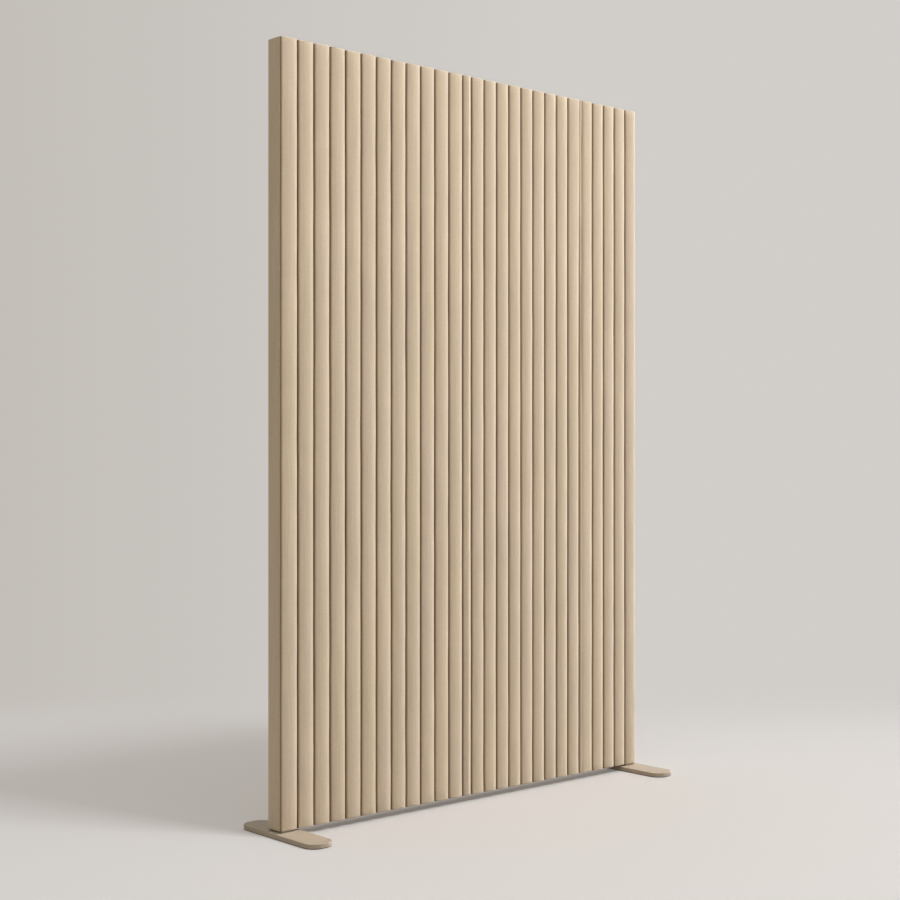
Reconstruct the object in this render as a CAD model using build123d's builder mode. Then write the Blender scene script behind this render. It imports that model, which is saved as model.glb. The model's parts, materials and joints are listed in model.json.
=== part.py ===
"""Free-standing fluted wall partition: an upholstered panel of padded flutes on two flat steel feet.

Millimetres. X runs along the panel, its fluted front faces -Y, and +Z is up.
The origin is on the floor, in the middle of the panel's width and of the feet's length.
"""

import os
from math import radians, tan

from build123d import *

os.makedirs("parts", exist_ok=True)

# Panel
panel_width = 1219.0
panel_height = 1829.0
front_offset = 8.5  # fluted front ahead of the middle of the feet

# Layers of the panel, front to back
flute_depth = 15.0
front_board_thickness = 6.0
frame_depth = 27.0
back_board_thickness = 4.0
back_cover_thickness = 1.0

# Fabric over thin foam on the panel's edges
end_cover_thickness = 2.5
end_cover_lap = 8.5  # over the outer sides of the first and last flutes
cap_thickness = 2.5
back_cover_inset = 4.0

# Flutes
flute_count = 27
narrow_flute = 13
narrow_flute_width = 30.0
wide_flute = 23
wide_flute_width = 52.5
left_run_extra_width = 2.8  # how much wider the flutes left of the narrow one are
flute_gap = 0.4
flute_crown_height = 1.0
flute_edge_radius = 8.0
last_edge_radius = 3.0  # the last flute's outer edge, which is squarer
flute_end_radius = 4.0
outer_end_radius = 2.0
pleat_inset = 12.0
pleat_radius = 4.0
pleat_depth = 1.6

# Timber frame
timber_width = 40.0
cross_rail_rows = 2

# Dowels that join the timbers
dowel_radius = 4.0
dowel_wall = 1.0  # timber left between a dowel's end and the foot's insert
dowel_spacing = 20.0
dowel_clearance = 0.1

# Screws that hold the back board
screw_rows = 6
screw_end_inset = 90.0
screw_length = 16.0
screw_radius = 1.75
screw_head_radius = 3.5
screw_head_angle = 82.0
screw_clearance = 0.1

# Feet
plate_length = 286.0
plate_width = 72.0
plate_thickness = 10.0
plate_corner_radius = 30.0
plate_edge_radius = 1.8
sole_thickness = 2.0
sole_inset = 2.0
packer_thickness = 4.0
packer_inset = 2.0
packer_corner_radius = 3.0

# Pivot bolt that clamps each foot under the panel, and the insert that it turns into
bolt_radius = 5.0
bolt_head_radius = 8.0
bolt_head_height = 4.5
bolt_length = 40.0
bolt_socket_width = 6.0
bolt_socket_depth = 2.5
washer_thickness = 1.5
counterbore_depth = 6.5
counterbore_clearance = 1.0
pivot_clearance = 0.05
bolt_hole_clearance = 0.5
insert_radius = 7.0
insert_length = 30.0
insert_clearance = 0.1

# Planes that the pieces share
left_end = -panel_width / 2
right_end = panel_width / 2
plate_bottom = sole_thickness
plate_top = plate_bottom + plate_thickness
panel_bottom = plate_top + packer_thickness
panel_top = panel_bottom + panel_height
flute_front = -front_offset
board_front = flute_front + flute_depth
frame_front = board_front + front_board_thickness
frame_back = frame_front + frame_depth
board_back = frame_back + back_board_thickness
panel_back = board_back + back_cover_thickness
frame_middle = (frame_front + frame_back) / 2
frame_left = left_end + end_cover_thickness
frame_right = right_end - end_cover_thickness
frame_bottom = panel_bottom + cap_thickness
frame_top = panel_top - cap_thickness
inner_left = frame_left + timber_width
inner_right = frame_right - timber_width
inner_bottom = frame_bottom + timber_width
inner_top = frame_top - timber_width
left_pivot = frame_left + timber_width / 2
right_pivot = frame_right - timber_width / 2
stud_half = timber_width / 2

# Widths of the flutes, from left to right
left_run = narrow_flute - 1
special_widths = {narrow_flute: narrow_flute_width, wide_flute: wide_flute_width}
right_flute_width = (
    panel_width - sum(special_widths.values()) - left_run * left_run_extra_width
) / (flute_count - len(special_widths))
flute_widths = [
    special_widths.get(number, right_flute_width + (left_run_extra_width if number <= left_run else 0.0))
    for number in range(1, flute_count + 1)
]

# Heights of the rails, which share the clear height evenly
rail_step = (frame_top - frame_bottom - timber_width) / (cross_rail_rows + 1)
rail_bottoms = [frame_bottom + rail_step * row for row in range(cross_rail_rows + 2)]
cross_rail_bottoms = rail_bottoms[1:-1]

# Screws stand in three columns, one on each upright
screw_step = (panel_height - 2 * screw_end_inset) / (screw_rows - 1)
screw_heights = [panel_bottom + screw_end_inset + screw_step * row for row in range(screw_rows)]
screw_head_height = (screw_head_radius - screw_radius) / tan(radians(screw_head_angle / 2))

# The bolt's washer bears on the floor of the plate's counterbore
washer_top = plate_bottom + counterbore_depth
bolt_head_top = washer_top - washer_thickness
counterbore_radius = bolt_head_radius + counterbore_clearance
bolt_hole_radius = bolt_radius + bolt_hole_clearance


def save(piece, name):
    """Labels a finished piece and writes it to its own file."""
    piece.part.label = name
    export_step(piece.part, f"parts/{name}.step")


def facing(x, y, z, direction):
    """A plane at a point that looks out of a piece in the given direction."""
    return Plane(origin=(x, y, z), z_dir=direction)


# Padded flutes
def flute(number, left, right):
    """A crowned front with rounded edges. The end covers lap the first and last flutes' outer sides."""
    edge = flute_front + flute_crown_height
    right_round = last_edge_radius if number == flute_count else flute_edge_radius
    with BuildPart() as piece:
        with BuildSketch(Plane.XY.offset(panel_bottom)) as outline:
            with BuildLine():
                Polyline((left, edge), (left, board_front), (right, board_front), (right, edge))
                ThreePointArc((right, edge), ((left + right) / 2, flute_front), (left, edge))
            make_face()
            fillet(outline.vertices().group_by(Axis.X)[0].sort_by(Axis.Y)[0], flute_edge_radius)
            fillet(outline.vertices().group_by(Axis.X)[-1].sort_by(Axis.Y)[0], right_round)
        extrude(amount=panel_height)
        rims = [
            rim
            for rim in piece.faces().filter_by(Axis.Z).edges()
            if rim.center().Y < board_front - flute_crown_height / 2
        ]
        fillet(rims, outer_end_radius if number in (1, flute_count) else flute_end_radius)
        if number in (1, flute_count):
            lapped_side = left if number == 1 else right - end_cover_thickness
            with BuildSketch(Plane.XY.offset(panel_bottom)):
                with Locations((lapped_side, board_front)):
                    Rectangle(end_cover_thickness, end_cover_lap, align=(Align.MIN, Align.MAX))
            extrude(amount=panel_height, mode=Mode.SUBTRACT)
        if number == wide_flute:
            with BuildSketch(Plane.XY.offset(panel_bottom)):
                with Locations((left + pleat_inset, edge + pleat_depth - pleat_radius)):
                    Circle(pleat_radius)
            extrude(amount=panel_height, mode=Mode.SUBTRACT)
    return piece


flute_left = left_end
for number, width in enumerate(flute_widths, start=1):
    left = flute_left + (flute_gap / 2 if number > 1 else 0.0)
    flute_left += width
    right = flute_left - (flute_gap / 2 if number < flute_count else 0.0)
    save(flute(number, left, right), f"flute_{number:02d}")


# Boards and covers
def slab(x_range, y_range, z_range):
    """A flat board or cover that fills the given ranges."""
    with BuildPart() as piece:
        with BuildSketch(Plane.XY.offset(z_range[0])):
            with Locations((sum(x_range) / 2, sum(y_range) / 2)):
                Rectangle(x_range[1] - x_range[0], y_range[1] - y_range[0])
        extrude(amount=z_range[1] - z_range[0])
    return piece


frame_width_range = (frame_left, frame_right)
body_depth_range = (board_front, board_back)
end_cover_depth_range = (board_front - end_cover_lap, board_back)
panel_height_range = (panel_bottom, panel_top)
back_cover_width_range = (left_end + back_cover_inset, right_end - back_cover_inset)
back_cover_height_range = (panel_bottom + back_cover_inset, panel_top - back_cover_inset)
save(
    slab(frame_width_range, (board_front, frame_front), (frame_bottom, frame_top)),
    "front_board",
)
save(slab((left_end, frame_left), end_cover_depth_range, panel_height_range), "left_end_cover")
save(slab((frame_right, right_end), end_cover_depth_range, panel_height_range), "right_end_cover")
save(slab(frame_width_range, body_depth_range, (frame_top, panel_top)), "top_cover")
save(
    slab(back_cover_width_range, (board_back, panel_back), back_cover_height_range),
    "back_cover",
)

with BuildPart() as bottom_cover:
    with BuildSketch(Plane.XY.offset(panel_bottom)):
        with Locations((0, (board_front + board_back) / 2)):
            Rectangle(frame_right - frame_left, board_back - board_front)
        with Locations((left_pivot, frame_middle), (right_pivot, frame_middle)):
            Circle(bolt_hole_radius, mode=Mode.SUBTRACT)
    extrude(amount=cap_thickness)
save(bottom_cover, "bottom_cover")

# Back board, countersunk for its screws
screw_columns = (left_pivot, 0.0, right_pivot)
back_screw_planes = [
    facing(x, board_back, z, (0, 1, 0)) for x in screw_columns for z in screw_heights
]
with BuildPart() as back_board:
    with BuildSketch(Plane.XY.offset(frame_bottom)):
        with Locations((0, (frame_back + board_back) / 2)):
            Rectangle(frame_right - frame_left, back_board_thickness)
    extrude(amount=frame_top - frame_bottom)
    with Locations(*back_screw_planes):
        CounterSinkHole(
            screw_radius + screw_clearance,
            screw_head_radius + screw_clearance,
            back_board_thickness,
            screw_head_angle,
        )
save(back_board, "back_board")

top_down = (Align.CENTER, Align.CENTER, Align.MAX)
with BuildPart() as back_board_screws:
    with Locations(*back_screw_planes):
        Cone(screw_radius, screw_head_radius, screw_head_height, align=top_down)
        Cylinder(screw_radius, screw_length, align=top_down)
save(back_board_screws, "back_board_screws")


# Timber frame
dowel_depth = timber_width / 2 - insert_radius - dowel_wall
dowel_hole_radius = dowel_radius + dowel_clearance
dowel_hole_depth = dowel_depth + dowel_clearance
pilot_hole_radius = screw_radius + screw_clearance
pilot_hole_depth = screw_length - back_board_thickness + screw_clearance


def dowel_planes(x, rail_bottom_list, direction):
    """Where a pair of dowels leaves the face at x for each rail."""
    return [
        facing(x, frame_middle, bottom + timber_width / 2 + side * dowel_spacing / 2, direction)
        for bottom in rail_bottom_list
        for side in (-1, 1)
    ]


def stud_dowel_planes(z, direction):
    """Where the pair of dowels at an end of the stud leaves the face at height z."""
    return [facing(side * dowel_spacing / 2, frame_middle, z, direction) for side in (-1, 1)]


def upright(middle, low, high, dowels):
    """A vertical timber, drilled for its dowels and for the back board's screws."""
    with BuildPart() as piece:
        with BuildSketch(Plane.XY.offset(low)):
            with Locations((middle, frame_middle)):
                Rectangle(timber_width, frame_depth)
        extrude(amount=high - low)
        with Locations(*dowels):
            Hole(dowel_hole_radius, dowel_hole_depth)
        with Locations(*[facing(middle, frame_back, z, (0, 1, 0)) for z in screw_heights]):
            Hole(pilot_hole_radius, pilot_hole_depth)
    return piece


def stile(middle, dowels):
    """An end upright, bored from below for the threaded insert."""
    with BuildPart() as piece:
        add(upright(middle, frame_bottom, frame_top, dowels).part)
        with Locations(facing(middle, frame_middle, frame_bottom, (0, 0, -1))):
            Hole(insert_radius + insert_clearance, insert_length + insert_clearance)
    return piece


def rail(left, right, bottom, dowels):
    """A horizontal timber, drilled for its dowels."""
    with BuildPart() as piece:
        with BuildSketch(Plane.XY.offset(bottom)):
            with Locations(((left + right) / 2, frame_middle)):
                Rectangle(right - left, frame_depth)
        extrude(amount=timber_width)
        with Locations(*dowels):
            Hole(dowel_hole_radius, dowel_hole_depth)
    return piece


to_right, to_left, up, down = (1, 0, 0), (-1, 0, 0), (0, 0, 1), (0, 0, -1)
save(stile(left_pivot, dowel_planes(inner_left, rail_bottoms, to_right)), "left_stile")
save(stile(right_pivot, dowel_planes(inner_right, rail_bottoms, to_left)), "right_stile")
save(
    upright(
        0.0,
        inner_bottom,
        inner_top,
        dowel_planes(-stud_half, cross_rail_bottoms, to_left)
        + dowel_planes(stud_half, cross_rail_bottoms, to_right)
        + stud_dowel_planes(inner_bottom, down)
        + stud_dowel_planes(inner_top, up),
    ),
    "centre_stud",
)
for name, bottom, stud_dowels in (
    ("bottom_rail", frame_bottom, stud_dowel_planes(inner_bottom, up)),
    ("top_rail", inner_top, stud_dowel_planes(inner_top, down)),
):
    end_dowels = dowel_planes(inner_left, [bottom], to_left)
    end_dowels += dowel_planes(inner_right, [bottom], to_right)
    save(rail(inner_left, inner_right, bottom, end_dowels + stud_dowels), name)
for row, bottom in enumerate(cross_rail_bottoms, start=1):
    for side, left, right in (
        ("left", inner_left, -stud_half),
        ("right", stud_half, inner_right),
    ):
        end_dowels = dowel_planes(left, [bottom], to_left) + dowel_planes(right, [bottom], to_right)
        save(rail(left, right, bottom, end_dowels), f"cross_rail_{row}_{side}")

with BuildPart() as frame_dowels:
    with Locations(
        *dowel_planes(inner_left, rail_bottoms, to_right),
        *dowel_planes(inner_right, rail_bottoms, to_left),
        *dowel_planes(-stud_half, cross_rail_bottoms, to_left),
        *dowel_planes(stud_half, cross_rail_bottoms, to_right),
        *stud_dowel_planes(inner_bottom, down),
        *stud_dowel_planes(inner_top, up),
    ):
        Cylinder(dowel_radius, 2 * dowel_depth)
save(frame_dowels, "frame_dowels")


# Feet, each with the packer, bolt, washer and insert that hold it
def foot_plate(pivot):
    """A flat steel plate with round ends, counterbored from below for the bolt's head."""
    with BuildPart() as piece:
        with BuildSketch(Plane.XY.offset(plate_bottom)):
            with Locations((pivot, 0)):
                RectangleRounded(plate_width, plate_length, plate_corner_radius)
        extrude(amount=plate_thickness)
        fillet(piece.faces().sort_by(Axis.Z)[-1].edges(), plate_edge_radius)
        with Locations(facing(pivot, frame_middle, plate_bottom, down)):
            CounterBoreHole(
                bolt_radius + pivot_clearance,
                counterbore_radius,
                counterbore_depth,
                plate_thickness,
            )
    return piece


def foot_sole(pivot):
    """A rubber sole, a little smaller than the plate, open round the bolt's head."""
    with BuildPart() as piece:
        with BuildSketch():
            with Locations((pivot, 0)):
                RectangleRounded(plate_width, plate_length, plate_corner_radius)
            offset(amount=-sole_inset)
            with Locations((pivot, frame_middle)):
                Circle(counterbore_radius, mode=Mode.SUBTRACT)
        extrude(amount=sole_thickness)
    return piece


def packer(pivot):
    """A flat block that holds the panel clear of the foot."""
    with BuildPart() as piece:
        with BuildSketch(Plane.XY.offset(plate_top)):
            with Locations((pivot, (flute_front + panel_back) / 2)):
                RectangleRounded(
                    timber_width, panel_back - flute_front - 2 * packer_inset, packer_corner_radius
                )
            with Locations((pivot, frame_middle)):
                Circle(bolt_hole_radius, mode=Mode.SUBTRACT)
        extrude(amount=packer_thickness)
    return piece


def pivot_bolt(pivot):
    """A low-headed bolt with a hexagon socket, driven from below."""
    with BuildPart() as piece:
        with Locations((pivot, frame_middle, bolt_head_top)):
            Cylinder(bolt_head_radius, bolt_head_height, align=top_down)
            Cylinder(bolt_radius, bolt_length, align=(Align.CENTER, Align.CENTER, Align.MIN))
        with BuildSketch(Plane.XY.offset(bolt_head_top - bolt_head_height)):
            with Locations((pivot, frame_middle)):
                RegularPolygon(bolt_socket_width / 2, 6, major_radius=False)
        extrude(amount=bolt_socket_depth, mode=Mode.SUBTRACT)
    return piece


def ring(pivot, bottom, height, outer_radius, inner_radius):
    """A washer or a plain round insert about the pivot."""
    with BuildPart() as piece:
        with BuildSketch(Plane.XY.offset(bottom)):
            with Locations((pivot, frame_middle)):
                Circle(outer_radius)
                Circle(inner_radius, mode=Mode.SUBTRACT)
        extrude(amount=height)
    return piece


for side, pivot in (("left", left_pivot), ("right", right_pivot)):
    save(foot_plate(pivot), f"{side}_foot_plate")
    save(foot_sole(pivot), f"{side}_foot_sole")
    save(packer(pivot), f"{side}_packer")
    save(pivot_bolt(pivot), f"{side}_pivot_bolt")
    save(
        ring(pivot, bolt_head_top, washer_thickness, bolt_head_radius, bolt_radius + pivot_clearance),
        f"{side}_spring_washer",
    )
    save(
        ring(pivot, frame_bottom, insert_length, insert_radius, bolt_radius + pivot_clearance),
        f"{side}_threaded_insert",
    )
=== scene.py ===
"""The looks of the fluted wall partition: fabric flutes and covers, coated feet, studio and camera.

Metres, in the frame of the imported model: X along the panel, the fluted front faces -Y, +Z is up.
"""

import json
from math import asin, cos, pi, radians, sin

import bmesh
import bpy
import numpy as np
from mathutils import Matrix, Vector

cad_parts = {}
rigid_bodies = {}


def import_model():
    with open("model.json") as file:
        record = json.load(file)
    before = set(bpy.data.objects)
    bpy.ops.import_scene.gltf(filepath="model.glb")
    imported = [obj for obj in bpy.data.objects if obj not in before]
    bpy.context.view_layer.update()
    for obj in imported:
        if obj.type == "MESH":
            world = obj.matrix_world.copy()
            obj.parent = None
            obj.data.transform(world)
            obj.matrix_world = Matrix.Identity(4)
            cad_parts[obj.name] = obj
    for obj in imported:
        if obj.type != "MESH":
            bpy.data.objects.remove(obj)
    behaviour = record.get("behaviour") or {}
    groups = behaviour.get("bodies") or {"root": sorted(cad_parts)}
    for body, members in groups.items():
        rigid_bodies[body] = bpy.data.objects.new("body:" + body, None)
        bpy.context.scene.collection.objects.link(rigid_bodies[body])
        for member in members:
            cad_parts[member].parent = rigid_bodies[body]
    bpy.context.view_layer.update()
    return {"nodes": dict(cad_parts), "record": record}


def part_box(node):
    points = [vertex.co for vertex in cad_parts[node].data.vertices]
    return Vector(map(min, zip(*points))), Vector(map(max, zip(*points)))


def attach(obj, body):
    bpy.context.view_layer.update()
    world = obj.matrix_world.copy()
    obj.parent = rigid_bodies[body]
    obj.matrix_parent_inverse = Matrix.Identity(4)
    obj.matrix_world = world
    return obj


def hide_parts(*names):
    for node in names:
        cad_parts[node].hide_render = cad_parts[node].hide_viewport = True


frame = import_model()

mm = 0.001
nodes = frame["nodes"]

# Camera
camera_azimuth = radians(-41.776)
camera_place = (-2.7309, -2.9650, 0.8873)
camera_lens = 63.065
camera_shift_up = 0.00291
view_ahead = (-sin(camera_azimuth), cos(camera_azimuth), 0.0)
view_right = (cos(camera_azimuth), sin(camera_azimuth), 0.0)

# Colours, linear
fabric_beige = (0.522, 0.43, 0.322)
# The covers' fabric is painted a little lighter than the same fabric on the flutes: painted light that
# lifts the shaded end faces.
cover_beige_with_painted_light = (0.555, 0.452, 0.334)
lining_beige = (0.55, 0.455, 0.345)
paint_beige = (0.385, 0.318, 0.242)
# The packers' paint is darkened, a painted shade for the contact shadow under the panel.
packer_painted_shade = 0.45
floor_grey = (0.70, 0.672, 0.638)
floor_seen = (0.85, 0.845, 0.865)
floor_glow = 0.078
floor_glow_slope = 0.012
floor_glow_color = (1.0, 0.96, 0.97)
# The wall is painted darker at the left and lighter at the right, a painted falloff of light across the
# backdrop.
wall_left = (0.545, 0.515, 0.48)
wall_right = (0.64, 0.615, 0.588)

# Cloth
thread_pitch = 0.9 * mm
lining_pitch = 0.7 * mm
cloth_dark = 0.80
cloth_light = 1.20
dust_at_floor = 0.55
dust_falloff = 9.0
# Painted shade in the grooves between flutes: where it starts and where it is full behind the flute front,
# how strong it is, and its darker, warmer colour.
painted_shade_start = 1.3 * mm
painted_shade_end = 5.6 * mm
painted_shade_strength = 0.92
painted_shade_tint = (0.33, 0.23, 0.14)

# Flutes
left_shoulder = 8.2 * mm
right_shoulder = 7.2 * mm
last_radius = 3.0 * mm
shoulder_points = 11
crown = 1.4 * mm
crown_powers = (2.0, 4.5)
crown_points = 13
end_radius = 2.6 * mm
outer_end_radius = 1.6 * mm
seam_shift = 2.8 * mm
seam_round = 0.8 * mm
ring_step = 18.0 * mm
foot_points = 2
unsmoothed_points = 10

# Unevenness of the flutes
seam_waver = 0.55 * mm
left_shoulder_waver = 0.7 * mm
right_shoulder_waver = 0.5 * mm
flute_swell = 0.35 * mm
swell_wavelengths = (0.9, 0.31, 0.13)
seam_seed = 100
left_shoulder_seed = 200
right_shoulder_seed = 300
swell_seed = 400

# Pleat in the wide flute, with distances below the top where it starts to deepen and is deepest
pleated_flute = 23
pleated_crown_points = 49
pleat_inset = 12.0 * mm
pleat_wander = 1.1 * mm
pleat_seed = 77
pleat_left_reach = 1.3 * mm
pleat_right_reach = 4.2 * mm
pleat_faint = 0.9 * mm
pleat_deepening = 3.6 * mm
pleat_span = (1.3, 0.1)
pleat_power = 1.3
flattening = 0.75
flattening_span = (0.7, 0.1)

# Covers
cover_radius = 2.2 * mm
cover_arc_points = 7
cover_flat_points = 9
cover_draw_in = 0.9
cover_seam = 1.2 * mm
seam_dip = 0.9 * mm
end_cover_swell = 0.35 * mm
edge_cover_swell = 0.3 * mm
cover_waver = 0.2 * mm
cover_seeds = {"left": 31, "right": 37, "top": 41, "bottom": 43}

# Lining
hem_width = 18.0 * mm
hem_height = 1.0 * mm
hem_step = (hem_width - 1.0 * mm, hem_width + 1.5 * mm)
lining_height = 0.5 * mm
lining_slack = 0.16 * mm
lining_lift = 0.02 * mm
lining_margin = 8.0 * mm
lining_grid = 14.0 * mm
lining_rounding = (-0.4 * mm, 0.6 * mm)

# Staples
staple_spacing = 56.0 * mm
staple_corner = 30.0 * mm
staple_width = 10.0 * mm
staple_wire = 0.45 * mm
staple_flatness = 0.7
staple_sides = 6
staple_leg = 1.2 * mm
staple_shoulder = 0.1 * mm
staple_bend = 0.4 * mm
staple_rise = 0.15 * mm

# Studio
floor_radius = 4.0
floor_sides = 96
floor_fade_back = (0.75, 1.9)
floor_fade_out = (2.4, 3.9)
wall_ramp = (-0.28, 0.06)
lamp_target = (0.0, 0.0, 0.9)


# Meshes
def steps(low, high, step):
    """Evenly spaced values from low to high, about a step apart."""
    return np.linspace(low, high, max(2, int(round((high - low) / step)) + 1))


def waver(values, seed, amount, wavelengths=(1.25, 0.47, 0.19)):
    """A smooth unevenness along a length, the same on every run."""
    random = np.random.RandomState(seed)
    total = np.zeros_like(values)
    for wavelength in wavelengths:
        height = random.uniform(0.5, 1.0)
        start = random.uniform(0, 2 * pi)
        total += height * np.sin(2 * pi * values / wavelength + start)
    return amount * total / len(wavelengths)


def smooth_step(low, high, value):
    """0 at low, 1 at high and smooth between."""
    t = np.clip((value - low) / (high - low), 0.0, 1.0)
    return t * t * (3 - 2 * t)


def corner_arc(centre, radius, start, end, count):
    """Points on an arc in a plane, between two angles in degrees."""
    angles = np.radians(np.linspace(start, end, count))
    return np.stack([centre[0] + radius * np.cos(angles), centre[1] + radius * np.sin(angles)], axis=1)


def ends(low, high, radius, step, count=6):
    """Places along a length, and how far the section draws in there, for ends rounded to a radius."""
    angles = np.linspace(0, pi / 2, count)
    inset = radius * (1 - np.sin(angles))
    start = low + radius * (1 - np.cos(angles))
    body = steps(low + radius, high - radius, step)[1:-1]
    places = np.concatenate([start, body, (low + high - start)[::-1]])
    return places, np.concatenate([inset, np.zeros_like(body), inset[::-1]])


def linked(name, mesh, weld=0.0):
    """A mesh as a piece of the scene, smooth and facing outward, with points within weld joined."""
    form = bmesh.new()
    form.from_mesh(mesh)
    if weld:
        bmesh.ops.remove_doubles(form, verts=form.verts, dist=weld)
    bmesh.ops.recalc_face_normals(form, faces=form.faces)
    for face in form.faces:
        face.smooth = True
    form.to_mesh(mesh)
    form.free()
    piece = bpy.data.objects.new(name, mesh)
    bpy.context.scene.collection.objects.link(piece)
    return piece


def shell(name, outer, inner):
    """A closed mesh from rings of points, capped at both ends.

    Each ring is an outer path and the inner path behind it.
    """
    rings, count = outer.shape[:2]
    loop = np.concatenate([outer, inner[:, ::-1]], axis=1)
    size = loop.shape[1]
    middle = loop[rings // 2]
    lengths = np.linalg.norm(np.roll(middle, -1, axis=0) - middle, axis=1)
    around = np.concatenate([[0.0], np.cumsum(lengths)])
    centres = loop.mean(axis=1)
    along = np.concatenate([[0.0], np.cumsum(np.linalg.norm(np.diff(centres, axis=0), axis=1))])
    faces, weave = [], []
    for ring in range(rings - 1):
        for point in range(size):
            after = (point + 1) % size
            faces.append((
                ring * size + point,
                ring * size + after,
                (ring + 1) * size + after,
                (ring + 1) * size + point,
            ))
            weave += [
                (around[point], along[ring]),
                (around[point + 1], along[ring]),
                (around[point + 1], along[ring + 1]),
                (around[point], along[ring + 1]),
            ]
    for ring, turned in ((0, True), (rings - 1, False)):
        for point in range(count - 1):
            face = [point, point + 1, size - 2 - point, size - 1 - point]
            if turned:
                face.reverse()
            faces.append(tuple(ring * size + corner for corner in face))
            flat = loop[ring] - loop[ring].min(axis=0)
            weave += [(flat[corner].max(), flat[corner][1]) for corner in face]
    mesh = bpy.data.meshes.new(name)
    mesh.from_pydata(loop.reshape(-1, 3).tolist(), [], faces)
    layer = mesh.uv_layers.new(name="weave")
    layer.data.foreach_set("uv", np.array(weave, dtype=np.float32).ravel())
    return linked(name, mesh, weld=0.01 * mm)


# Materials
class Shader:
    """Builds the nodes of one procedural material, or of the world."""

    def __init__(self, owner):
        self.owner = owner
        owner.use_nodes = True
        self.tree = owner.node_tree
        self.tree.nodes.clear()

    def add(self, kind, inputs=(), **settings):
        """A node with its settings, and with each input linked or set."""
        node = self.tree.nodes.new(kind)
        for key, value in settings.items():
            setattr(node, key, value)
        for key, value in dict(inputs).items():
            if isinstance(value, bpy.types.NodeSocket):
                self.tree.links.new(value, node.inputs[key])
            else:
                node.inputs[key].default_value = value
        return node

    def math(self, operation, first, second=0.0, third=0.0, clamp=False):
        inputs = {0: first, 1: second, 2: third}
        return self.add("ShaderNodeMath", inputs, operation=operation, use_clamp=clamp).outputs[0]

    def place(self):
        return self.add("ShaderNodeTexCoord").outputs["Object"]

    def axes(self, vector):
        return self.add("ShaderNodeSeparateXYZ", {0: vector}).outputs

    def reach(self, vector, direction):
        """How far a place lies along a direction."""
        inputs = {0: vector, 1: direction}
        return self.add("ShaderNodeVectorMath", inputs, operation="DOT_PRODUCT").outputs["Value"]

    def fade(self, value, low, high, most=1.0):
        """0 below low, the most above high and smooth between."""
        inputs = {"Value": value, "From Min": low, "From Max": high, "To Max": most}
        return self.add("ShaderNodeMapRange", inputs, interpolation_type="SMOOTHSTEP").outputs[0]

    def stretched(self, vector, scale):
        return self.add("ShaderNodeMapping", {"Vector": vector, "Scale": scale}).outputs[0]

    def noise(self, vector, scale, detail=2.0, roughness=0.5):
        inputs = {"Vector": vector, "Scale": scale, "Detail": detail, "Roughness": roughness}
        return self.add("ShaderNodeTexNoise", inputs).outputs["Fac"]

    def around_half(self, value, amount):
        """A texture's departure from its middle, times an amount."""
        return self.math("MULTIPLY", self.math("SUBTRACT", value, 0.5), amount)

    def sum(self, *values):
        total = values[0]
        for value in values[1:]:
            total = self.math("ADD", total, value)
        return total

    def blend(self, level, first, second):
        """A mix of two colours, each with four values or made by other nodes."""
        inputs = {0: level, 6: first, 7: second}
        return self.add("ShaderNodeMix", inputs, data_type="RGBA", clamp_factor=True).outputs[2]

    def tones(self, level, dark, light):
        """A colour between two plain tones, by a level about one half."""
        return self.blend(level, (*dark, 1.0), (*light, 1.0))

    def finish(self, color, roughness, height, depth, strength=1.0, **sockets):
        """Joins colour, roughness and relief to the surface. Constants sit on the shader's own sockets."""
        bump = self.add("ShaderNodeBump", {"Height": height, "Distance": depth, "Strength": strength})
        surface = self.add(
            "ShaderNodeBsdfPrincipled",
            {"Base Color": color, "Roughness": roughness, "Normal": bump.outputs[0]},
        )
        for key, value in sockets.items():
            surface.inputs[key.replace("_", " ")].default_value = value
        self.add("ShaderNodeOutputMaterial", {"Surface": surface.outputs[0]})
        return self.owner


def material_shader(name):
    return Shader(bpy.data.materials.new(name))


def shaded(color, factor):
    """A colour made darker or lighter."""
    return tuple(min(1.0, part * factor) for part in color)


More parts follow.
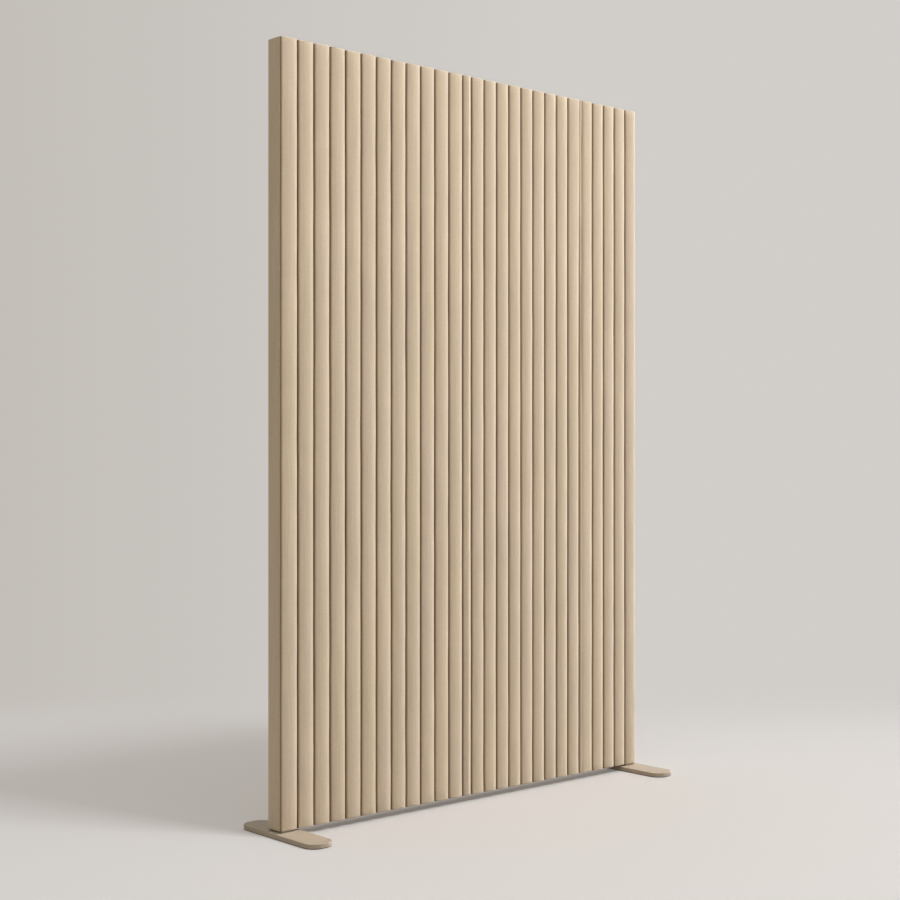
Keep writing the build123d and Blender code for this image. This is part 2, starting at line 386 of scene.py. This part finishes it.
def fabric(name, color, pitch, contrast=1.0, painted_groove_shade=None, streaky=1.0):
    """Plain woven upholstery with slubs along the height, soft mottling and dust near the floor.

    A painted groove shade gives where the painted shade between flutes starts, where it is full, and how
    strong it is.
    """
    make = material_shader(name)
    thread = make.add("ShaderNodeUVMap", uv_map="weave").outputs[0]
    place = make.place()
    parts = make.axes(thread)
    across = make.math("MULTIPLY", parts[0], pi / pitch)
    along = make.math("MULTIPLY", parts[1], pi / pitch)
    warp = make.math("ABSOLUTE", make.math("SINE", across))
    weft = make.math("ABSOLUTE", make.math("SINE", along))
    over = make.math("MULTIPLY", make.math("COSINE", across), make.math("COSINE", along))
    over = make.math("MULTIPLY_ADD", over, 1.5, 0.5, clamp=True)
    upper = make.math("MULTIPLY", warp, over)
    lower = make.math("MULTIPLY", weft, make.math("SUBTRACT", 1.0, over))
    weave = make.math("ADD", upper, lower)
    grain = make.noise(place, 260.0, 3.0, 0.6)
    slub = make.noise(make.stretched(thread, (430.0, 9.0, 1.0)), 1.0, 2.0)
    mottle = make.noise(make.stretched(place, (18.0, 18.0, 2.6)), 1.0, 3.0)
    streak = make.noise(make.stretched(place, (520.0, 520.0, 5.0)), 1.0, 2.0)
    level = make.sum(
        make.around_half(weave, 0.34 * contrast),
        make.around_half(grain, 0.60 * contrast),
        make.around_half(slub, 0.50 * contrast * streaky),
        make.around_half(mottle, 0.55 * contrast * streaky),
        make.around_half(streak, 0.5 * contrast * streaky),
        0.5,
    )
    red, green, blue = color
    rosy = (red * 1.01, green * 0.995, blue * 1.02)
    straw = (red * 0.99, green * 0.985, blue * 0.93)
    plain = make.tones(level, shaded(rosy, cloth_dark), shaded(rosy, cloth_light))
    warm = make.tones(level, shaded(straw, cloth_dark), shaded(straw, cloth_light))
    hue = make.noise(make.stretched(place, (27.0, 27.0, 1.7)), 1.0, 2.0)
    hue = make.math("MULTIPLY_ADD", hue, 3.0 * streaky, 0.5 - 1.5 * streaky, clamp=True)
    tinted = make.blend(hue, plain, warm)
    inward, height = make.axes(place)[1:3]
    dust = make.math("MULTIPLY_ADD", height, -dust_falloff, dust_at_floor, clamp=True)
    dust = make.math("MULTIPLY", dust, make.noise(place, 45.0, 4.0, 0.65))
    soiled = make.tones(level, shaded(color, 0.72), shaded(color, 0.86))
    final = make.blend(dust, tinted, soiled)
    if painted_groove_shade:
        # Painted shade in the grooves: the fabric turns darker and warmer deeper behind the flute front,
        # standing in for shade between the flutes.
        shade = tuple(part * tint for part, tint in zip(color, painted_shade_tint))
        deep = make.tones(level, shade, shaded(shade, 1.3))
        final = make.blend(make.fade(inward, *painted_groove_shade), final, deep)
    rough = make.math("MULTIPLY_ADD", grain, 0.12, 0.82)
    relief = make.math("ADD", make.math("MULTIPLY", weave, 0.6), make.math("MULTIPLY", grain, 0.4))
    return make.finish(
        final,
        rough,
        relief,
        0.25 * mm,
        0.45,
        Sheen_Weight=0.4,
        Sheen_Roughness=0.45,
        Sheen_Tint=(1.0, 0.93, 0.82, 1.0),
        Specular_IOR_Level=0.25,
    )


def coated_metal(name, color, roughness):
    """Powder coat: fine orange peel, faint cloudiness and edges rubbed a little paler."""
    make = material_shader(name)
    place = make.place()
    peel = make.noise(place, 900.0, 2.0)
    cloud = make.noise(make.stretched(place, (12.0, 22.0, 30.0)), 1.0, 3.0)
    level = make.sum(make.around_half(peel, 0.3), make.around_half(cloud, 0.7), 0.5)
    body = make.tones(level, shaded(color, 0.95), shaded(color, 1.05))
    edge = make.add("ShaderNodeNewGeometry").outputs["Pointiness"]
    edge = make.math("MULTIPLY_ADD", edge, 14.0, -7.4, clamp=True)
    edge = make.math("MULTIPLY", edge, make.noise(place, 120.0, 3.0))
    worn = make.tones(level, shaded(color, 1.08), shaded(color, 1.2))
    rough = make.math("MULTIPLY_ADD", cloud, 0.16, roughness - 0.08)
    relief = make.math("MULTIPLY_ADD", cloud, 0.2, peel)
    return make.finish(make.blend(edge, body, worn), rough, relief, 0.05 * mm, 0.35)


def timber(name, light, dark, scale):
    """Planed timber: growth bands, fine pores and slight unevenness along the grain."""
    make = material_shader(name)
    place = make.stretched(make.place(), scale)
    bend = make.noise(place, 1.6, 3.0)
    bands = make.add(
        "ShaderNodeTexWave",
        {"Vector": place, "Scale": 1.1, "Distortion": 5.0, "Detail": 3.0, "Detail Scale": 1.4},
        bands_direction="Y",
    ).outputs["Fac"]
    pores = make.noise(make.stretched(place, (6.0, 6.0, 1.0)), 9.0, 3.0, 0.65)
    level = make.sum(
        make.around_half(bands, 0.55), make.around_half(pores, 0.35), make.around_half(bend, 0.4), 0.5
    )
    rough = make.math("MULTIPLY_ADD", pores, 0.2, 0.55)
    return make.finish(make.tones(level, dark, light), rough, level, 0.1 * mm, 0.4)


def bare_metal(name, color, roughness, brushing):
    """Plated or turned metal with fine marks in one direction."""
    make = material_shader(name)
    place = make.place()
    marks = make.noise(make.stretched(place, brushing), 1.0, 2.0)
    stain = make.noise(place, 160.0, 3.0)
    level = make.sum(make.around_half(marks, 0.4), make.around_half(stain, 0.5), 0.5)
    tones = make.tones(level, shaded(color, 0.86), shaded(color, 1.08))
    rough = make.math("MULTIPLY_ADD", marks, 0.18, roughness - 0.09)
    return make.finish(tones, rough, marks, 0.02 * mm, 0.4, Metallic=1.0)


def rubber(name, color):
    """Matt rubber sheet with a fine pebbled face."""
    make = material_shader(name)
    place = make.place()
    pebbles = make.add("ShaderNodeTexVoronoi", {"Vector": place, "Scale": 650.0}).outputs["Distance"]
    cloud = make.noise(place, 25.0, 3.0)
    level = make.sum(make.around_half(pebbles, 0.4), make.around_half(cloud, 0.6), 0.5)
    tones = make.tones(level, shaded(color, 0.8), shaded(color, 1.3))
    rough = make.math("MULTIPLY_ADD", cloud, 0.15, 0.75)
    return make.finish(tones, rough, pebbles, 0.1 * mm, 0.5)


flute_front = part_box("flute_02")[0].y
# The painted shade between the flutes is measured from the flute front.
painted_groove_shade = (flute_front + painted_shade_start, flute_front + painted_shade_end, painted_shade_strength)
flute_fabric = fabric("flute_fabric", fabric_beige, thread_pitch, painted_groove_shade=painted_groove_shade)
# A lighter copy of the flute fabric for the covers, with painted light for the shaded ends.
cover_fabric_with_painted_light = fabric("cover_fabric_with_painted_light", cover_beige_with_painted_light, thread_pitch, 1.1)
lining_fabric = fabric("lining_fabric", lining_beige, lining_pitch, 0.8, streaky=0.12)
finishes = {
    "board": timber("plywood", (0.66, 0.50, 0.33), (0.52, 0.37, 0.22), (8.0, 60.0, 2.2)),
    "timber": timber("softwood", (0.74, 0.57, 0.37), (0.58, 0.40, 0.23), (30.0, 30.0, 2.5)),
    "dowel": timber("beech", (0.64, 0.45, 0.27), (0.50, 0.33, 0.19), (60.0, 60.0, 60.0)),
    "foot_paint": coated_metal("foot_coat", paint_beige, 0.5),
    # Packer painted darker than the feet: painted shade under the panel.
    "packer_paint": coated_metal("packer_coat_painted_shade", shaded(paint_beige, packer_painted_shade), 0.55),
    "sole_rubber": rubber("sole_rubber", (0.035, 0.033, 0.031)),
    "bolt_steel": bare_metal("bolt_steel", (0.55, 0.55, 0.56), 0.35, (700.0, 700.0, 60.0)),
    "screw_steel": bare_metal("screw_steel", (0.62, 0.58, 0.47), 0.35, (500.0, 60.0, 500.0)),
    "insert_brass": bare_metal("insert_brass", (0.72, 0.56, 0.28), 0.32, (60.0, 60.0, 1500.0)),
}


def dress(piece, material, body="panel"):
    """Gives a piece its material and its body."""
    piece.data.materials.append(material)
    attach(piece, body)
    return piece


# Flutes
flute_count = sum(name.startswith("flute_") for name in nodes)


def flute_side(x, inward, edge, base, radius, cover):
    """The fabric from the board round one shoulder. An outer flute comes out from under the end cover."""
    start, foot = 0.0, [[x, base], [x, (base + edge + radius) / 2]]
    if cover:
        thickness, seam = cover
        under = x + inward * thickness
        start = asin(max(0.0, (edge + radius - seam + seam_round) / radius))
        out = x + inward * (radius * (1 - cos(start)) + seam_round)
        foot = [[under, base], [under, seam], [out, seam]]
    turn = np.linspace(start, pi / 2, shoulder_points)
    arc = np.stack([x + inward * radius * (1 - np.cos(turn)), edge + radius * (1 - np.sin(turn))], axis=1)
    return np.concatenate([foot, arc])


def flute_section(left, right, front, base, radii, covers, count):
    """The fabric's line in one section, from the left seam over the crown to the right seam."""
    edge = front + crown
    left_radius, right_radius = radii
    left_side = flute_side(left, 1, edge, base, left_radius, covers[0])
    right_side = flute_side(right, -1, edge, base, right_radius, covers[1])
    share = np.linspace(0, 1, count)[1:-1]
    x = (left + left_radius) * (1 - share) + (right - right_radius) * share
    from_middle = 2 * share - 1
    y = edge - crown * (1 - np.abs(from_middle) ** np.where(from_middle < 0, *crown_powers))
    top = np.stack([x, y], axis=1)
    line = np.concatenate([left_side, top, right_side[::-1]])
    kept = unsmoothed_points
    before, here, after = line[kept - 1 : -kept - 1], line[kept:-kept], line[kept + 1 : -kept + 1]
    smooth = line.copy()
    smooth[kept:-kept] = (before + 2 * here + after) / 4
    return smooth


def seam_wander(heights, seam):
    """How far a seam lies from the solids' seam. The two flutes beside it share it."""
    return seam_shift + waver(heights, seam_seed + seam, seam_waver)


def end_cover_seam(side):
    """The thickness of an end cover, and the depth of its edge along the outer flute."""
    low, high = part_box(f"{side}_end_cover")
    return high.x - low.x, low.y


def pleat(x, z, left, top):
    """How far the fold in the wide flute is drawn in, deep at the top and faint at the foot."""
    wander = waver(np.array([z]), pleat_seed, pleat_wander)[0]
    offset = x - (left + pleat_inset + wander)
    reach = np.where(offset < 0, pleat_left_reach, pleat_right_reach)
    depth = pleat_faint + pleat_deepening * smooth_step(*pleat_span, np.array(top - z))
    return depth * np.exp(-((np.abs(offset) / reach) ** pleat_power))


def make_flute(number):
    """One channel's fabric. Its seams, shoulders and swell waver along the height."""
    name = f"flute_{number:02d}"
    low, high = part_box(name)
    first, last, pleated = number == 1, number == flute_count, number == pleated_flute
    heights, insets = ends(low.z, high.z, outer_end_radius if first or last else end_radius, ring_step)
    left_wander = np.zeros_like(heights) if first else seam_wander(heights, number)
    right_wander = np.zeros_like(heights) if last else seam_wander(heights, number + 1)
    left_round = left_shoulder + waver(heights, left_shoulder_seed + number, left_shoulder_waver)
    right_round = last_radius if last else right_shoulder
    right_round = right_round + waver(heights, right_shoulder_seed + number, right_shoulder_waver)
    flattened = 1 - flattening * smooth_step(*flattening_span, high.z - heights)
    if pleated:
        left_round *= flattened
    if number == pleated_flute - 1:
        right_round *= flattened
    swell = waver(heights, swell_seed + number, flute_swell, swell_wavelengths)
    covers = (end_cover_seam("left") if first else None, end_cover_seam("right") if last else None)
    count = pleated_crown_points if pleated else crown_points
    outer, inner = [], []
    for index, (z, inset) in enumerate(zip(heights, insets)):
        left = low.x + left_wander[index] + inset
        right = high.x + right_wander[index] - inset
        front = low.y + inset + swell[index]
        radii = (left_round[index] - inset, right_round[index] - inset)
        line = flute_section(left, right, front, high.y, radii, covers, count)
        if pleated:
            over_foam = line[foot_points:-foot_points]
            over_foam[:, 1] += pleat(over_foam[:, 0], z, low.x, high.z)
        back = np.linspace(line[0], line[-1], len(line))
        outer.append([(x, y, z) for x, y in line])
        inner.append([(x, y, z) for x, y in back])
    piece = dress(shell(f"fabric_{name}", np.array(outer), np.array(inner)), flute_fabric)
    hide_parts(name)


for number in range(1, flute_count + 1):
    make_flute(number)


# Covers on the ends, the top and the bottom
def cover_section(depth_range, thickness, swell):
    """A flat cover's section as outward height over depth, rounded at the back edge."""
    front, back = depth_range
    arc = corner_arc((back - cover_radius, thickness - cover_radius), cover_radius, 90, 0, cover_arc_points)
    share = np.linspace(0, 1, cover_flat_points)
    depth = front + cover_seam + (back - cover_radius - front - cover_seam) * share
    flat = np.stack([depth, thickness + swell * np.sin(pi * share)], axis=1)[:-1]
    start = np.array([
        [front, 0.0],
        [front, thickness - seam_dip],
        [front + 0.4 * cover_seam, thickness - seam_dip / 3],
    ])
    line = np.concatenate([start, flat, arc, [[back, 0.0]]])
    base = np.linspace(line[0], line[-1], len(line))
    return line, base


def make_cover(node, outer, inner):
    """Fabric over thin foam, from rings of points, in the place of a cover."""
    piece = shell(f"fabric_{node}", np.array(outer), np.array(inner))
    dress(piece, cover_fabric_with_painted_light)
    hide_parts(node)


def end_cover(side):
    """The cover on an end of the panel, from its back edge to the first or last flute."""
    node = f"{side}_end_cover"
    low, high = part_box(node)
    sign = -1 if side == "left" else 1
    inner_face = high.x if side == "left" else low.x
    heights, insets = ends(low.z, high.z, outer_end_radius, ring_step)
    swell = end_cover_swell + waver(heights, cover_seeds[side], cover_waver)
    outer, inner = [], []
    for z, inset, bulge in zip(heights, insets, swell):
        line, base = cover_section((low.y, high.y), high.x - low.x - inset * cover_draw_in, bulge)
        outer.append([(inner_face + sign * height, y, z) for y, height in line])
        inner.append([(inner_face + sign * height, y, z) for y, height in base])
    make_cover(node, outer, inner)


def edge_cover(side):
    """The cover on the panel's top or bottom edge."""
    node = f"{side}_cover"
    low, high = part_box(node)
    sign = 1 if side == "top" else -1
    inner_face = low.z if side == "top" else high.z
    places = steps(low.x, high.x, ring_step)
    swell = edge_cover_swell + waver(places, cover_seeds[side], cover_waver)
    outer, inner = [], []
    for x, bulge in zip(places, swell):
        line, base = cover_section((low.y, high.y), high.z - low.z, bulge)
        outer.append([(x, y, inner_face + sign * height) for y, height in line])
        inner.append([(x, y, inner_face + sign * height) for y, height in base])
    make_cover(node, outer, inner)


for side in ("left", "right"):
    end_cover(side)
for side in ("top", "bottom"):
    edge_cover(side)


# Lining on the back, hemmed and stapled
def lining_lines(low, high):
    """Grid lines across the lining, close together where the hem steps down."""
    edge = [0.0, 0.5 * mm, 6.0 * mm, 12.0 * mm, hem_step[0], hem_width, hem_step[1]]
    margin = hem_width + lining_margin
    middle = steps(low + margin, high - margin, lining_grid)
    return np.concatenate([[low + step for step in edge], middle, [high - step for step in reversed(edge)]])


def lining_waves(columns, z):
    """Slow unevenness of the stretched cloth, from -2 to 2."""
    upright = np.sin(columns * 19 + 3.0 * np.sin(z * 7))
    slanting = np.sin(columns * 7 - z * 23 + np.sin(columns * 31))
    return upright + slanting


def make_lining():
    """The stretched lining, with a hem all round that stands a little higher."""
    low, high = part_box("back_cover")
    columns, rows = lining_lines(low.x, high.x), lining_lines(low.z, high.z)
    base = np.full_like(columns, low.y + lining_lift)
    outer, inner = [], []
    for z in rows:
        to_edge = np.minimum(np.minimum(columns - low.x, high.x - columns), min(z - low.z, high.z - z))
        hem = 1 - smooth_step(*hem_step, to_edge)
        rounded = smooth_step(*lining_rounding, to_edge)
        slack = lining_slack * lining_waves(columns, z)
        raised = (lining_height + slack) * (1 - hem) + hem_height * hem
        y = low.y + raised * rounded
        level = np.full_like(columns, z)
        outer.append(np.stack([columns, y, level], axis=1))
        inner.append(np.stack([columns, base, level], axis=1))
    piece = dress(shell("back_lining", np.array(outer), np.array(inner)), lining_fabric)
    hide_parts("back_cover")


def staple_places(low, high):
    """Even places along a hem, clear of its corners."""
    return steps(low + staple_corner, high - staple_corner, staple_spacing)


def staple_crowns():
    """The middle and the direction of each staple, round the hem."""
    low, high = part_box("back_cover")
    middle = hem_width / 2
    face = low.y + hem_height
    crowns = []
    for x in staple_places(low.x, high.x):
        crowns += [((x, face, low.z + middle), (1, 0, 0)), ((x, face, high.z - middle), (1, 0, 0))]
    for z in staple_places(low.z, high.z):
        crowns += [((low.x + middle, face, z), (0, 0, 1)), ((high.x - middle, face, z), (0, 0, 1))]
    return crowns


def make_staples():
    """Wire staples along the hem, as one piece of many crowns with their bent shoulders."""
    half = staple_width / 2
    profile = [(-half, -staple_leg), (-half, -staple_shoulder), (-half + staple_bend, staple_rise)]
    profile += [(-x, y) for x, y in reversed(profile)]
    outward = Vector((0, 1, 0))
    sides = staple_sides
    points, faces = [], []
    for centre, direction in staple_crowns():
        centre, direction = Vector(centre), Vector(direction)
        across = direction.cross(outward)
        start = len(points)
        for offset, rise in profile:
            for side in range(sides):
                turn = 2 * pi * side / sides
                spread = across * cos(turn) * staple_wire
                lift = outward * sin(turn) * staple_wire * staple_flatness
                if rise < -staple_shoulder:
                    lift = direction * sin(turn) * staple_wire
                points.append(centre + direction * offset + outward * rise + spread + lift)
        for ring in range(len(profile) - 1):
            for side in range(sides):
                a, b = start + ring * sides + side, start + ring * sides + (side + 1) % sides
                faces.append((a, b, b + sides, a + sides))
        last = start + (len(profile) - 1) * sides
        faces.append(tuple(range(start, start + sides)))
        faces.append(tuple(reversed(range(last, last + sides))))
    mesh = bpy.data.meshes.new("lining_staples")
    mesh.from_pydata(points, [], faces)
    dress(linked("lining_staples", mesh), finishes["screw_steel"])


make_lining()
make_staples()


# Boards, timbers, feet and fixings keep their own shape
for subpart in frame["record"]["subparts"]:
    finish = finishes.get(subpart["material_slot"])
    if finish:
        for holder in nodes[subpart["node"]].material_slots:
            holder.material = finish


# Studio
def studio_floor():
    """A pale floor that fades into the wall behind the panel and far out on every side."""
    bpy.ops.mesh.primitive_circle_add(
        vertices=floor_sides, radius=floor_radius, fill_type="NGON", location=(0, 0, 0)
    )
    floor = bpy.context.object
    floor.name = "studio_floor"
    make = material_shader("studio_floor")
    place = make.place()
    radius = make.add("ShaderNodeVectorMath", {0: place}, operation="LENGTH").outputs["Value"]
    fade_back = make.fade(make.reach(place, view_ahead), *floor_fade_back)
    fade_out = make.fade(radius, *floor_fade_out)
    clear = make.math("MAXIMUM", fade_back, fade_out)
    cloud = make.noise(place, 1.4, 2.0)
    color = make.tones(cloud, shaded(floor_grey, 0.985), shaded(floor_grey, 1.015))
    diffuse = make.add("ShaderNodeBsdfDiffuse", {"Color": color})
    glow = make.math("MULTIPLY_ADD", make.reach(place, view_right), floor_glow_slope, floor_glow)
    pale = make.add("ShaderNodeEmission", {"Color": (*floor_glow_color, 1.0), "Strength": glow})
    matt = make.add("ShaderNodeBsdfDiffuse", {"Color": (*floor_seen, 1.0)})
    lifted = make.add("ShaderNodeAddShader", {0: matt.outputs[0], 1: pale.outputs[0]})
    camera_ray = make.add("ShaderNodeLightPath").outputs["Is Camera Ray"]
    ground = make.add("ShaderNodeMixShader", {0: camera_ray, 1: diffuse.outputs[0], 2: lifted.outputs[0]})
    see_through = make.add("ShaderNodeBsdfTransparent")
    mix = make.add("ShaderNodeMixShader", {0: clear, 1: ground.outputs[0], 2: see_through.outputs[0]})
    make.add("ShaderNodeOutputMaterial", {"Surface": mix.outputs[0]})
    floor.data.materials.append(make.owner)


def studio_world(ambient, strength):
    """Soft light from all round, and the pale wall that the camera and the metal see, with a painted
    falloff of light from darker at the left to lighter at the right.
    """
    make = Shader(bpy.data.worlds.new("studio"))
    bpy.context.scene.world = make.owner
    path = make.add("ShaderNodeLightPath").outputs
    seen = make.math("ADD", path["Is Camera Ray"], path["Is Glossy Ray"])
    seen = make.math("ADD", seen, path["Is Transmission Ray"], clamp=True)
    light = make.add("ShaderNodeBackground", {"Color": (*ambient, 1.0), "Strength": strength})
    direction = make.add("ShaderNodeTexCoord").outputs["Generated"]
    # Painted falloff of light across the wall: darker to the left, lighter to the right.
    right = make.reach(direction, view_right)
    inputs = {"Value": right, "From Min": wall_ramp[0], "From Max": wall_ramp[1]}
    ramp = make.add("ShaderNodeMapRange", inputs).outputs[0]
    wall = make.add("ShaderNodeBackground", {"Color": make.tones(ramp, wall_left, wall_right)})
    mix = make.add("ShaderNodeMixShader", {0: seen, 1: light.outputs[0], 2: wall.outputs[0]})
    make.add("ShaderNodeOutputWorld", {"Surface": mix.outputs[0]})


def softbox(name, azimuth, elevation, distance, size, level, color, flagged=False):
    """A soft lamp that faces the panel. A flagged lamp is kept off the floor.

    Level is the light it gives a surface that faces it, where 1 is white.
    """
    around, up = radians(azimuth), radians(elevation)
    back = Vector((sin(around) * cos(up), -cos(around) * cos(up), sin(up)))
    lamp = bpy.data.lights.new(name, "AREA")
    lamp.shape = "RECTANGLE"
    lamp.size, lamp.size_y = size
    lamp.energy = level * pi**2 * distance**2
    lamp.color = color
    holder = bpy.data.objects.new(name, lamp)
    holder.location = Vector(lamp_target) + back * distance
    holder.rotation_euler = (-back).to_track_quat("-Z", "Y").to_euler()
    bpy.context.scene.collection.objects.link(holder)
    if flagged:
        lit = bpy.data.collections.new(f"{name}_lit")
        for piece in bpy.context.scene.objects:
            if piece.type == "MESH" and piece.name != "studio_floor":
                lit.objects.link(piece)
        holder.light_linking.receiver_collection = lit


studio_floor()
studio_world(ambient=(1.0, 0.95, 0.86), strength=0.50)
softbox(
    "side_softbox",
    azimuth=80.0,
    elevation=12.0,
    distance=9.0,
    size=(1.6, 5.0),
    level=1.36,
    color=(0.97, 0.98, 1.0),
    flagged=True,
)
softbox(
    "front_softbox",
    azimuth=17.0,
    elevation=58.0,
    distance=6.0,
    size=(1.6, 1.6),
    level=0.34,
    color=(1.0, 0.99, 0.97),
)


# Camera
def make_camera():
    camera = bpy.data.objects.new("camera", bpy.data.cameras.new("camera"))
    camera.data.lens = camera_lens
    camera.data.shift_y = camera_shift_up
    camera.location = camera_place
    camera.rotation_euler = (pi / 2, 0.0, camera_azimuth)
    bpy.context.scene.collection.objects.link(camera)
    bpy.context.scene.camera = camera


make_camera()
bpy.context.scene.view_settings.view_transform = "Standard"
